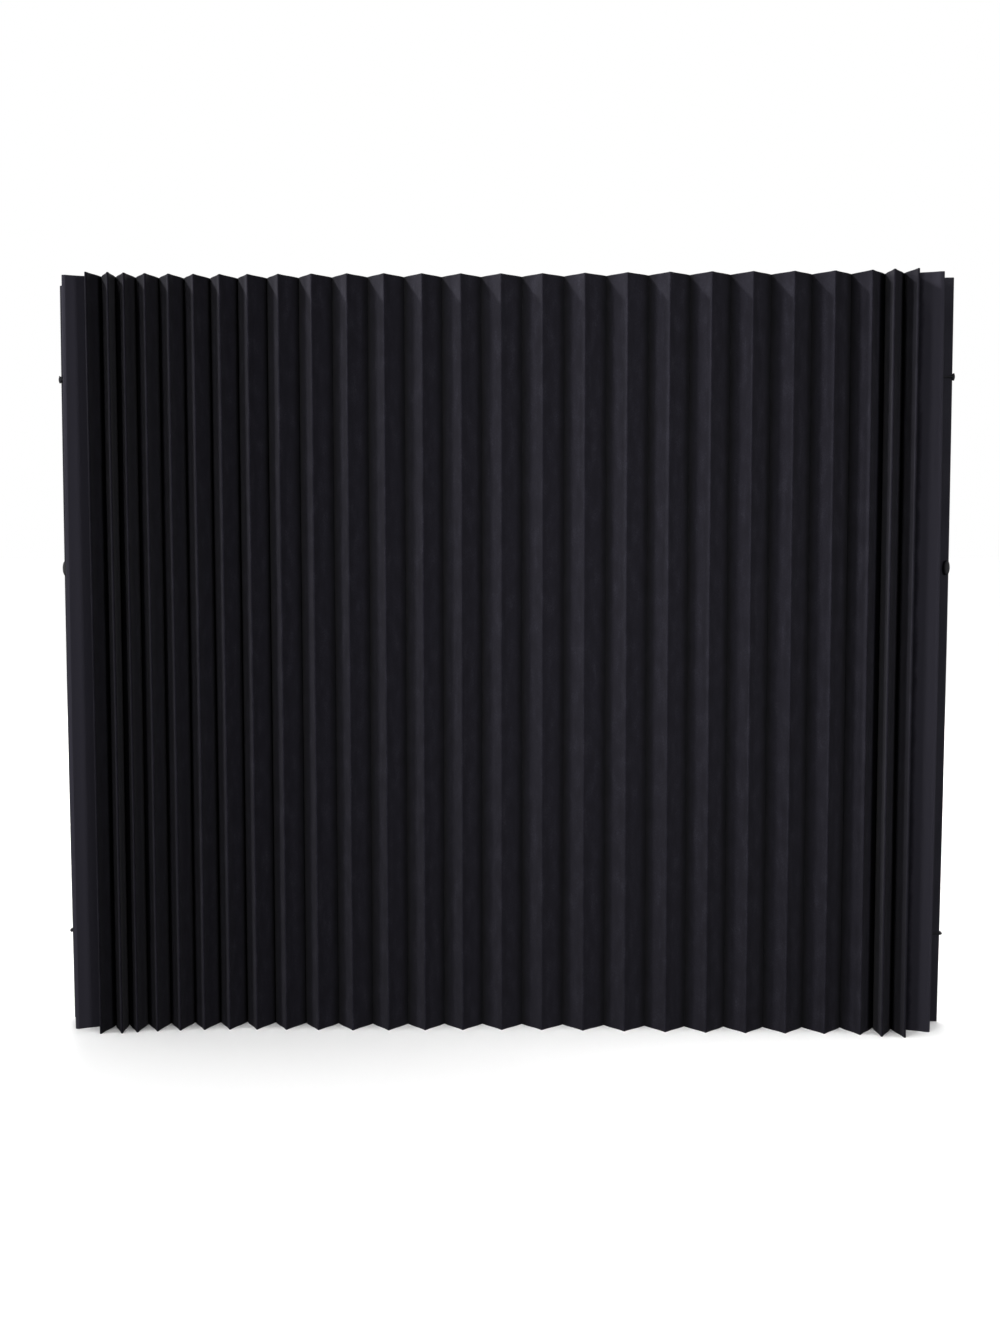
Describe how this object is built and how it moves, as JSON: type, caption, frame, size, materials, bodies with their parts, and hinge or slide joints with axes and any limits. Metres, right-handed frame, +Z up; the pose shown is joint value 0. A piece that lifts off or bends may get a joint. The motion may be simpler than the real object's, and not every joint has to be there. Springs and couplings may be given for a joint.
{
  "type": "microphone isolation shield",
  "caption": "Tall black accordion-pleated isolation shield that stands open behind a microphone and folds flat between two stiff end rails with elastic closure cords.",
  "frame": {"origin": "centre of the shield's footprint, on the surface that it stands on", "axes": "+X along the open wall to the right as seen from the front, +Y from the front to the back, +Z up"},
  "size_m": [0.6448, 0.0544, 0.54],
  "materials": {
    "sheet": "matte",
    "rail": "matte",
    "cord": "matte",
    "button": "matte"
  },
  "bodies": {
    "left_end": {"left_end_rail": "rail", "left_closure_cord": "cord", "left_cord_button": "button"},
    "panel_01": {"pleat_panel_01": "sheet"},
    "panel_02": {"pleat_panel_02": "sheet"},
    "panel_03": {"pleat_panel_03": "sheet"},
    "panel_04": {"pleat_panel_04": "sheet"},
    "panel_05": {"pleat_panel_05": "sheet"},
    "panel_06": {"pleat_panel_06": "sheet"},
    "panel_07": {"pleat_panel_07": "sheet"},
    "panel_08": {"pleat_panel_08": "sheet"},
    "panel_09": {"pleat_panel_09": "sheet"},
    "panel_10": {"pleat_panel_10": "sheet"},
    "panel_11": {"pleat_panel_11": "sheet"},
    "panel_12": {"pleat_panel_12": "sheet"},
    "panel_13": {"pleat_panel_13": "sheet"},
    "panel_14": {"pleat_panel_14": "sheet"},
    "panel_15": {"pleat_panel_15": "sheet"},
    "panel_16": {"pleat_panel_16": "sheet"},
    "panel_17": {"pleat_panel_17": "sheet"},
    "panel_18": {"pleat_panel_18": "sheet"},
    "panel_19": {"pleat_panel_19": "sheet"},
    "panel_20": {"pleat_panel_20": "sheet"},
    "panel_21": {"pleat_panel_21": "sheet"},
    "panel_22": {"pleat_panel_22": "sheet"},
    "panel_23": {"pleat_panel_23": "sheet"},
    "panel_24": {"pleat_panel_24": "sheet"},
    "panel_25": {"pleat_panel_25": "sheet"},
    "panel_26": {"pleat_panel_26": "sheet"},
    "panel_27": {"pleat_panel_27": "sheet"},
    "panel_28": {"pleat_panel_28": "sheet"},
    "panel_29": {"pleat_panel_29": "sheet"},
    "panel_30": {"pleat_panel_30": "sheet"},
    "panel_31": {"pleat_panel_31": "sheet"},
    "panel_32": {"pleat_panel_32": "sheet"},
    "panel_33": {"pleat_panel_33": "sheet"},
    "panel_34": {"pleat_panel_34": "sheet"},
    "panel_35": {"pleat_panel_35": "sheet"},
    "panel_36": {"pleat_panel_36": "sheet"},
    "panel_37": {"pleat_panel_37": "sheet"},
    "panel_38": {"pleat_panel_38": "sheet"},
    "panel_39": {"pleat_panel_39": "sheet"},
    "panel_40": {"pleat_panel_40": "sheet"},
    "panel_41": {"pleat_panel_41": "sheet"},
    "panel_42": {"pleat_panel_42": "sheet"},
    "panel_43": {"pleat_panel_43": "sheet"},
    "panel_44": {"pleat_panel_44": "sheet"},
    "panel_45": {"pleat_panel_45": "sheet"},
    "panel_46": {"pleat_panel_46": "sheet"},
    "panel_47": {"pleat_panel_47": "sheet"},
    "panel_48": {"pleat_panel_48": "sheet"},
    "panel_49": {"pleat_panel_49": "sheet"},
    "panel_50": {"pleat_panel_50": "sheet"},
    "panel_51": {"pleat_panel_51": "sheet"},
    "panel_52": {"pleat_panel_52": "sheet"},
    "panel_53": {"pleat_panel_53": "sheet"},
    "panel_54": {"pleat_panel_54": "sheet"},
    "right_end": {"right_end_rail": "rail", "right_closure_cord": "cord", "right_cord_button": "button"}
  },
  "joints": [
    {"name": "fold", "type": "hinge", "parent": "left_end", "child": "panel_01", "pos_m": [-0.30886, -0.00395, 0.27], "axis": [0, 0, 1], "range_deg": [-19.8, 57]},
    {"name": "crease_01", "type": "hinge", "parent": "panel_01", "child": "panel_02", "pos_m": [-0.29045, 0.00386, 0.27], "axis": [0, 0, 1], "range_deg": [-56.01, 19.46]},
    {"name": "crease_02", "type": "hinge", "parent": "panel_02", "child": "panel_03", "pos_m": [-0.2915, -0.01611, 0.27], "axis": [0, 0, 1], "range_deg": [-2.44, 7]},
    {"name": "crease_03", "type": "hinge", "parent": "panel_03", "child": "panel_04", "pos_m": [-0.28532, 0.00291, 0.27], "axis": [0, 0, 1], "range_deg": [-36.05, 12.52]},
    {"name": "crease_04", "type": "hinge", "parent": "panel_04", "child": "panel_05", "pos_m": [-0.27654, -0.01506, 0.27], "axis": [0, 0, 1], "range_deg": [-7.25, 20.86]},
    {"name": "crease_05", "type": "hinge", "parent": "panel_05", "child": "panel_06", "pos_m": [-0.27556, 0.00491, 0.27], "axis": [0, 0, 1], "range_deg": [-23.7, 8.24]},
    {"name": "crease_06", "type": "hinge", "parent": "panel_06", "child": "panel_07", "pos_m": [-0.2659, -0.0126, 0.27], "axis": [0, 0, 1], "range_deg": [-11.17, 32.15]},
    {"name": "crease_07", "type": "hinge", "parent": "panel_07", "child": "panel_08", "pos_m": [-0.26199, 0.00702, 0.27], "axis": [0, 0, 1], "range_deg": [-34.11, 11.85]},
    {"name": "crease_08", "type": "hinge", "parent": "panel_08", "child": "panel_09", "pos_m": [-0.25174, -0.01015, 0.27], "axis": [0, 0, 1], "range_deg": [-13.9, 40.01]},
    {"name": "crease_09", "type": "hinge", "parent": "panel_09", "child": "panel_10", "pos_m": [-0.24584, 0.00896, 0.27], "axis": [0, 0, 1], "range_deg": [-39.97, 13.89]},
    {"name": "crease_10", "type": "hinge", "parent": "panel_10", "child": "panel_11", "pos_m": [-0.23559, -0.00822, 0.27], "axis": [0, 0, 1], "range_deg": [-15.26, 43.91]},
    {"name": "crease_11", "type": "hinge", "parent": "panel_11", "child": "panel_12", "pos_m": [-0.2284, 0.01044, 0.27], "axis": [0, 0, 1], "range_deg": [-43.08, 14.97]},
    {"name": "crease_12", "type": "hinge", "parent": "panel_12", "child": "panel_13", "pos_m": [-0.2184, -0.00689, 0.27], "axis": [0, 0, 1], "range_deg": [-16.26, 46.81]},
    {"name": "crease_13", "type": "hinge", "parent": "panel_13", "child": "panel_14", "pos_m": [-0.21001, 0.01126, 0.27], "axis": [0, 0, 1], "range_deg": [-45.92, 15.95]},
    {"name": "crease_14", "type": "hinge", "parent": "panel_14", "child": "panel_15", "pos_m": [-0.20028, -0.00621, 0.27], "axis": [0, 0, 1], "range_deg": [-17.5, 50.36]},
    {"name": "crease_15", "type": "hinge", "parent": "panel_15", "child": "panel_16", "pos_m": [-0.1905, 0.01123, 0.27], "axis": [0, 0, 1], "range_deg": [-50.74, 17.63]},
    {"name": "crease_16", "type": "hinge", "parent": "panel_16", "child": "panel_17", "pos_m": [-0.18067, -0.00618, 0.27], "axis": [0, 0, 1], "range_deg": [-19.29, 55.52]},
    {"name": "crease_17", "type": "hinge", "parent": "panel_17", "child": "panel_18", "pos_m": [-0.16947, 0.01039, 0.27], "axis": [0, 0, 1], "range_deg": [-57.27, 19.9]},
    {"name": "crease_18", "type": "hinge", "parent": "panel_18", "child": "panel_19", "pos_m": [-0.1591, -0.00671, 0.27], "axis": [0, 0, 1], "range_deg": [-21.29, 61.29]},
    {"name": "crease_19", "type": "hinge", "parent": "panel_19", "child": "panel_20", "pos_m": [-0.14677, 0.00903, 0.27], "axis": [0, 0, 1], "range_deg": [-63.91, 22.2]},
    {"name": "crease_20", "type": "hinge", "parent": "panel_20", "child": "panel_21", "pos_m": [-0.13563, -0.00758, 0.27], "axis": [0, 0, 1], "range_deg": [-22.94, 66.02]},
    {"name": "crease_21", "type": "hinge", "parent": "panel_21", "child": "panel_22", "pos_m": [-0.12273, 0.0077, 0.27], "axis": [0, 0, 1], "range_deg": [-69.1, 24.01]},
    {"name": "crease_22", "type": "hinge", "parent": "panel_22", "child": "panel_23", "pos_m": [-0.11072, -0.00829, 0.27], "axis": [0, 0, 1], "range_deg": [-24.21, 69.69]},
    {"name": "crease_23", "type": "hinge", "parent": "panel_23", "child": "panel_24", "pos_m": [-0.09766, 0.00686, 0.27], "axis": [0, 0, 1], "range_deg": [-72.58, 25.21]},
    {"name": "crease_24", "type": "hinge", "parent": "panel_24", "child": "panel_25", "pos_m": [-0.08485, -0.0085, 0.27], "axis": [0, 0, 1], "range_deg": [-25.3, 72.81]},
    {"name": "crease_25", "type": "hinge", "parent": "panel_25", "child": "panel_26", "pos_m": [-0.07173, 0.00659, 0.27], "axis": [0, 0, 1], "range_deg": [-75.26, 26.14]},
    {"name": "crease_26", "type": "hinge", "parent": "panel_26", "child": "panel_27", "pos_m": [-0.05828, -0.00821, 0.27], "axis": [0, 0, 1], "range_deg": [-26.49, 76.26]},
    {"name": "crease_27", "type": "hinge", "parent": "panel_27", "child": "panel_28", "pos_m": [-0.0449, 0.00665, 0.27], "axis": [0, 0, 1], "range_deg": [-78, 27.1]},
    {"name": "crease_28", "type": "hinge", "parent": "panel_28", "child": "panel_29", "pos_m": [-0.03101, -0.00773, 0.27], "axis": [0, 0, 1], "range_deg": [-27.97, 80.52]},
    {"name": "crease_29", "type": "hinge", "parent": "panel_29", "child": "panel_30", "pos_m": [-0.01698, 0.00653, 0.27], "axis": [0, 0, 1], "range_deg": [-81.54, 28.33]},
    {"name": "crease_30", "type": "hinge", "parent": "panel_30", "child": "panel_31", "pos_m": [-0.00284, -0.00761, 0.27], "axis": [0, 0, 1], "range_deg": [-29.45, 84.78]},
    {"name": "crease_31", "type": "hinge", "parent": "panel_31", "child": "panel_32", "pos_m": [0.01197, 0.00583, 0.27], "axis": [0, 0, 1], "range_deg": [-85.18, 29.59]},
    {"name": "crease_32", "type": "hinge", "parent": "panel_32", "child": "panel_33", "pos_m": [0.02621, -0.00821, 0.27], "axis": [0, 0, 1], "range_deg": [-30.56, 87.98]},
    {"name": "crease_33", "type": "hinge", "parent": "panel_33", "child": "panel_34", "pos_m": [0.04166, 0.0045, 0.27], "axis": [0, 0, 1], "range_deg": [-87.69, 30.47]},
    {"name": "crease_34", "type": "hinge", "parent": "panel_34", "child": "panel_35", "pos_m": [0.05583, -0.00961, 0.27], "axis": [0, 0, 1], "range_deg": [-30.93, 89.03]},
    {"name": "crease_35", "type": "hinge", "parent": "panel_35", "child": "panel_36", "pos_m": [0.07157, 0.00273, 0.27], "axis": [0, 0, 1], "range_deg": [-88.16, 30.63]},
    {"name": "crease_36", "type": "hinge", "parent": "panel_36", "child": "panel_37", "pos_m": [0.08553, -0.0116, 0.27], "axis": [0, 0, 1], "range_deg": [-30.47, 87.69]},
    {"name": "crease_37", "type": "hinge", "parent": "panel_37", "child": "panel_38", "pos_m": [0.10117, 0.00087, 0.27], "axis": [0, 0, 1], "range_deg": [-87.06, 30.24]},
    {"name": "crease_38", "type": "hinge", "parent": "panel_38", "child": "panel_39", "pos_m": [0.11496, -0.01361, 0.27], "axis": [0, 0, 1], "range_deg": [-29.58, 85.13]},
    {"name": "crease_39", "type": "hinge", "parent": "panel_39", "child": "panel_40", "pos_m": [0.13017, -0.00062, 0.27], "axis": [0, 0, 1], "range_deg": [-85.09, 29.56]},
    {"name": "crease_40", "type": "hinge", "parent": "panel_40", "child": "panel_41", "pos_m": [0.14396, -0.01511, 0.27], "axis": [0, 0, 1], "range_deg": [-28.88, 83.13]},
    {"name": "crease_41", "type": "hinge", "parent": "panel_41", "child": "panel_42", "pos_m": [0.15872, -0.00161, 0.27], "axis": [0, 0, 1], "range_deg": [-83.4, 28.97]},
    {"name": "crease_42", "type": "hinge", "parent": "panel_42", "child": "panel_43", "pos_m": [0.17257, -0.01603, 0.27], "axis": [0, 0, 1], "range_deg": [-28.8, 82.91]},
    {"name": "crease_43", "type": "hinge", "parent": "panel_43", "child": "panel_44", "pos_m": [0.18721, -0.00241, 0.27], "axis": [0, 0, 1], "range_deg": [-83.23, 28.91]},
    {"name": "crease_44", "type": "hinge", "parent": "panel_44", "child": "panel_45", "pos_m": [0.20115, -0.01675, 0.27], "axis": [0, 0, 1], "range_deg": [-28.86, 83.08]},
    {"name": "crease_45", "type": "hinge", "parent": "panel_45", "child": "panel_46", "pos_m": [0.21575, -0.00309, 0.27], "axis": [0, 0, 1], "range_deg": [-80.53, 27.98]},
    {"name": "crease_46", "type": "hinge", "parent": "panel_46", "child": "panel_47", "pos_m": [0.22904, -0.01804, 0.27], "axis": [0, 0, 1], "range_deg": [-27.33, 78.68]},
    {"name": "crease_47", "type": "hinge", "parent": "panel_47", "child": "panel_48", "pos_m": [0.24319, -0.00391, 0.27], "axis": [0, 0, 1], "range_deg": [-70.39, 24.46]},
    {"name": "crease_48", "type": "hinge", "parent": "panel_48", "child": "panel_49", "pos_m": [0.25418, -0.02062, 0.27], "axis": [0, 0, 1], "range_deg": [-22.09, 63.58]},
    {"name": "crease_49", "type": "hinge", "parent": "panel_49", "child": "panel_50", "pos_m": [0.26656, -0.00491, 0.27], "axis": [0, 0, 1], "range_deg": [-36.24, 12.59]},
    {"name": "crease_50", "type": "hinge", "parent": "panel_50", "child": "panel_51", "pos_m": [0.26865, -0.0248, 0.27], "axis": [0, 0, 1], "range_deg": [-10.43, 30]},
    {"name": "crease_51", "type": "hinge", "parent": "panel_51", "child": "panel_52", "pos_m": [0.27925, -0.00784, 0.27], "axis": [0, 0, 1], "range_deg": [-39, 13.55]},
    {"name": "crease_52", "type": "hinge", "parent": "panel_52", "child": "panel_53", "pos_m": [0.28443, -0.02715, 0.27], "axis": [0, 0, 1], "range_deg": [-2.44, 7]},
    {"name": "crease_53", "type": "hinge", "parent": "panel_53", "child": "panel_54", "pos_m": [0.28443, -0.00715, 0.27], "axis": [0, 0, 1], "range_deg": [-62, 21.54]},
    {"name": "crease_54", "type": "hinge", "parent": "panel_54", "child": "right_end", "pos_m": [0.30322, -0.01399, 0.27], "axis": [0, 0, 1], "range_deg": [-25.02, 72.01]}
  ],
  "couplings": [
    {"joint": "crease_01", "follows": "fold", "ratio": -0.9825},
    {"joint": "crease_02", "follows": "fold", "ratio": 0.1228},
    {"joint": "crease_03", "follows": "fold", "ratio": -0.6323},
    {"joint": "crease_04", "follows": "fold", "ratio": 0.3658},
    {"joint": "crease_05", "follows": "fold", "ratio": -0.4157},
    {"joint": "crease_06", "follows": "fold", "ratio": 0.5639},
    {"joint": "crease_07", "follows": "fold", "ratio": -0.5984},
    {"joint": "crease_08", "follows": "fold", "ratio": 0.7018},
    {"joint": "crease_09", "follows": "fold", "ratio": -0.7012},
    {"joint": "crease_10", "follows": "fold", "ratio": 0.7703},
    {"joint": "crease_11", "follows": "fold", "ratio": -0.7557},
    {"joint": "crease_12", "follows": "fold", "ratio": 0.8211},
    {"joint": "crease_13", "follows": "fold", "ratio": -0.8055},
    {"joint": "crease_14", "follows": "fold", "ratio": 0.8835},
    {"joint": "crease_15", "follows": "fold", "ratio": -0.8901},
    {"joint": "crease_16", "follows": "fold", "ratio": 0.9739},
    {"joint": "crease_17", "follows": "fold", "ratio": -1.0047},
    {"joint": "crease_18", "follows": "fold", "ratio": 1.0751},
    {"joint": "crease_19", "follows": "fold", "ratio": -1.1211},
    {"joint": "crease_20", "follows": "fold", "ratio": 1.1582},
    {"joint": "crease_21", "follows": "fold", "ratio": -1.2122},
    {"joint": "crease_22", "follows": "fold", "ratio": 1.2226},
    {"joint": "crease_23", "follows": "fold", "ratio": -1.2732},
    {"joint": "crease_24", "follows": "fold", "ratio": 1.2773},
    {"joint": "crease_25", "follows": "fold", "ratio": -1.3202},
    {"joint": "crease_26", "follows": "fold", "ratio": 1.3378},
    {"joint": "crease_27", "follows": "fold", "ratio": -1.3684},
    {"joint": "crease_28", "follows": "fold", "ratio": 1.4126},
    {"joint": "crease_29", "follows": "fold", "ratio": -1.4305},
    {"joint": "crease_30", "follows": "fold", "ratio": 1.4873},
    {"joint": "crease_31", "follows": "fold", "ratio": -1.4943},
    {"joint": "crease_32", "follows": "fold", "ratio": 1.5434},
    {"joint": "crease_33", "follows": "fold", "ratio": -1.5384},
    {"joint": "crease_34", "follows": "fold", "ratio": 1.5619},
    {"joint": "crease_35", "follows": "fold", "ratio": -1.5466},
    {"joint": "crease_36", "follows": "fold", "ratio": 1.5384},
    {"joint": "crease_37", "follows": "fold", "ratio": -1.5272},
    {"joint": "crease_38", "follows": "fold", "ratio": 1.4935},
    {"joint": "crease_39", "follows": "fold", "ratio": -1.4927},
    {"joint": "crease_40", "follows": "fold", "ratio": 1.4583},
    {"joint": "crease_41", "follows": "fold", "ratio": -1.463},
    {"joint": "crease_42", "follows": "fold", "ratio": 1.4544},
    {"joint": "crease_43", "follows": "fold", "ratio": -1.4601},
    {"joint": "crease_44", "follows": "fold", "ratio": 1.4574},
    {"joint": "crease_45", "follows": "fold", "ratio": -1.4128},
    {"joint": "crease_46", "follows": "fold", "ratio": 1.3803},
    {"joint": "crease_47", "follows": "fold", "ratio": -1.2349},
    {"joint": "crease_48", "follows": "fold", "ratio": 1.1154},
    {"joint": "crease_49", "follows": "fold", "ratio": -0.6357},
    {"joint": "crease_50", "follows": "fold", "ratio": 0.5263},
    {"joint": "crease_51", "follows": "fold", "ratio": -0.6842},
    {"joint": "crease_52", "follows": "fold", "ratio": 0.1228},
    {"joint": "crease_53", "follows": "fold", "ratio": -1.0877},
    {"joint": "crease_54", "follows": "fold", "ratio": 1.2632}
  ]
}
